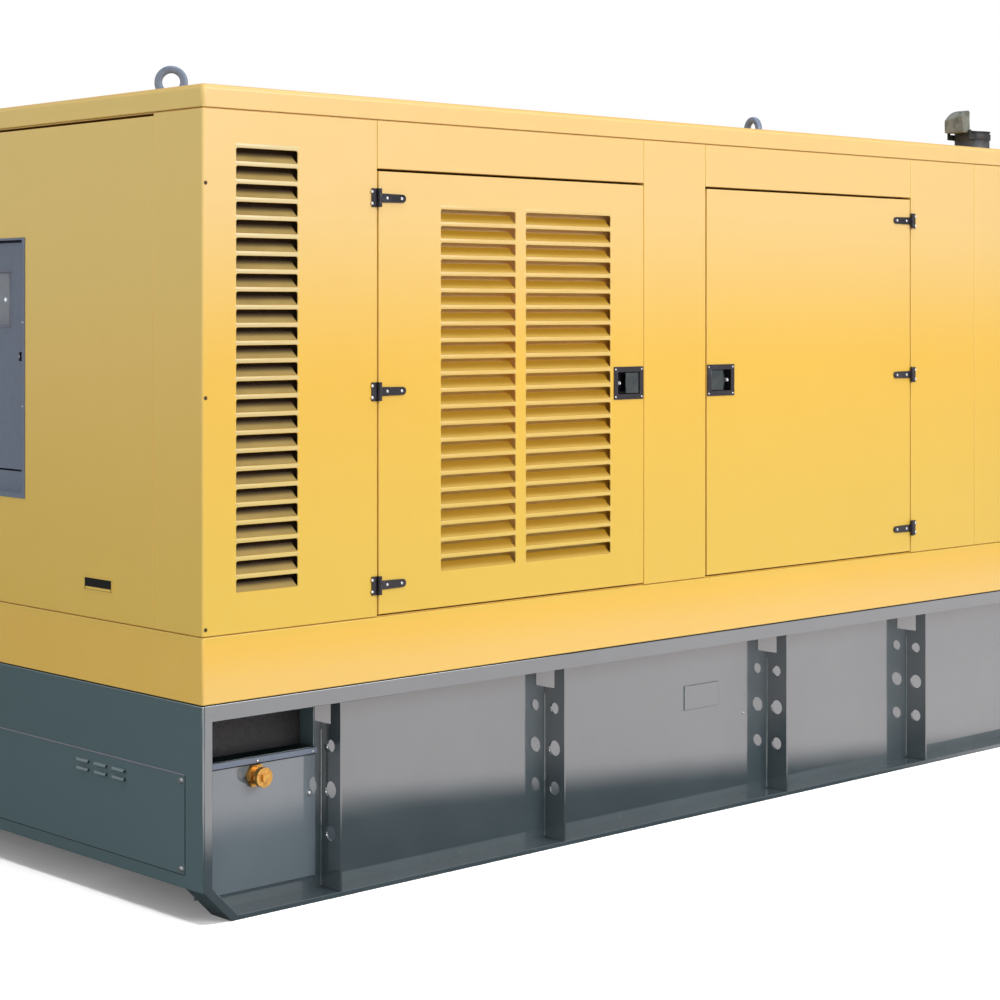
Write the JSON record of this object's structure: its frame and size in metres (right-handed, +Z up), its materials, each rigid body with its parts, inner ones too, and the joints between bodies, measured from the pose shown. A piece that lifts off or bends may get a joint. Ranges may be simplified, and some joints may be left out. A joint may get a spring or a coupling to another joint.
{
  "type": "canopied generator set",
  "caption": "Soundproofed generator set in a louvred sheet-metal canopy with hinged service doors, on a ribbed base frame with a built-in fuel tank.",
  "frame": {"origin": "on the ground under the middle of the set", "axes": "+X along the set towards the radiator end, +Y towards the far side, +Z up; the near side with the opening doors faces -Y and the control end faces -X"},
  "size_m": [5.82, 2.032, 2.735],
  "materials": {
    "canopy_yellow": "semi-gloss yellow powder coat",
    "base_paint": "semi-gloss slate grey paint",
    "cover_grey": "semi-gloss grey paint",
    "brass_plug": "dull brass",
    "eye_steel": "blue-grey forged steel",
    "exhaust_steel": "weathered steel",
    "cast_weight": "rough weathered casting",
    "black_fittings": "satin black",
    "control_grey": "satin blue-grey paint",
    "window_glass": "clear window",
    "engine_grey": "grey engine paint",
    "alternator_blue": "dark blue-grey paint",
    "radiator_black": "matt black",
    "black_plastic": "matt black"
  },
  "bodies": {
    "set": {"side_rail_near": "base_paint", "side_rail_far": "base_paint", "side_ribs": "base_paint", "end_plates": "base_paint", "deck": "base_paint", "fuel_tank": "base_paint", "duct_covers": "base_paint", "exit_covers": "cover_grey", "drain_plug": "brass_plug", "skirt_sides": "canopy_yellow", "skirt_ends": "canopy_yellow", "louvre_panels_near": "canopy_yellow", "louvre_panels_far": "canopy_yellow", "end_posts": "canopy_yellow", "door_headers": "canopy_yellow", "side_posts": "canopy_yellow", "side_panels": "canopy_yellow", "control_end_panel": "canopy_yellow", "radiator_end_panel": "canopy_yellow", "roof": "canopy_yellow", "lifting_eyes": "eye_steel", "exhaust_pipe": "exhaust_steel", "hinge_leaves": "black_fittings", "far_intake_door": "canopy_yellow", "far_service_door": "canopy_yellow", "far_door_fittings": "black_fittings", "control_box": "control_grey", "machinery_bed": "black_fittings", "engine": "engine_grey", "alternator": "alternator_blue", "radiator": "radiator_black", "air_cleaners": "black_plastic"},
    "intake_door": {"intake_door": "canopy_yellow", "intake_door_straps": "black_fittings", "intake_latch": "black_fittings"},
    "intake_paddle": {"intake_paddle": "black_fittings"},
    "service_door": {"service_door": "canopy_yellow", "service_door_straps": "black_fittings", "service_latch": "black_fittings"},
    "service_paddle": {"service_paddle": "black_fittings"},
    "control_door": {"control_door": "control_grey", "control_window": "window_glass", "control_lock": "black_fittings"},
    "rain_cap": {"rain_cap_lid": "exhaust_steel", "rain_cap_weight": "cast_weight"}
  },
  "joints": [
    {"name": "intake_door_hinge", "type": "hinge", "parent": "set", "child": "intake_door", "pos_m": [-2.2375, -1.009, 1.538], "axis": [0, 0, -1], "range_deg": [0, 110]},
    {"name": "service_door_hinge", "type": "hinge", "parent": "set", "child": "service_door", "pos_m": [0.4755, -1.009, 1.538], "axis": [0, 0, 1], "range_deg": [0, 110]},
    {"name": "intake_paddle_pivot", "type": "hinge", "parent": "intake_door", "child": "intake_paddle", "pos_m": [-1.072, -0.996, 1.54], "axis": [0, 0, 1], "range_deg": [0, 30], "stiffness_Nm_per_rad": 0.4},
    {"name": "service_paddle_pivot", "type": "hinge", "parent": "service_door", "child": "service_paddle", "pos_m": [-0.69, -0.996, 1.54], "axis": [0, 0, -1], "range_deg": [0, 30], "stiffness_Nm_per_rad": 0.4},
    {"name": "control_door_hinge", "type": "hinge", "parent": "set", "child": "control_door", "pos_m": [-2.884, 0.66, 1.596], "axis": [0, 0, -1], "range_deg": [0, 90]},
    {"name": "rain_cap_pivot", "type": "hinge", "parent": "set", "child": "rain_cap", "pos_m": [2.198, 0, 2.636], "axis": [0, -1, 0], "range_deg": [0, 60]}
  ]
}
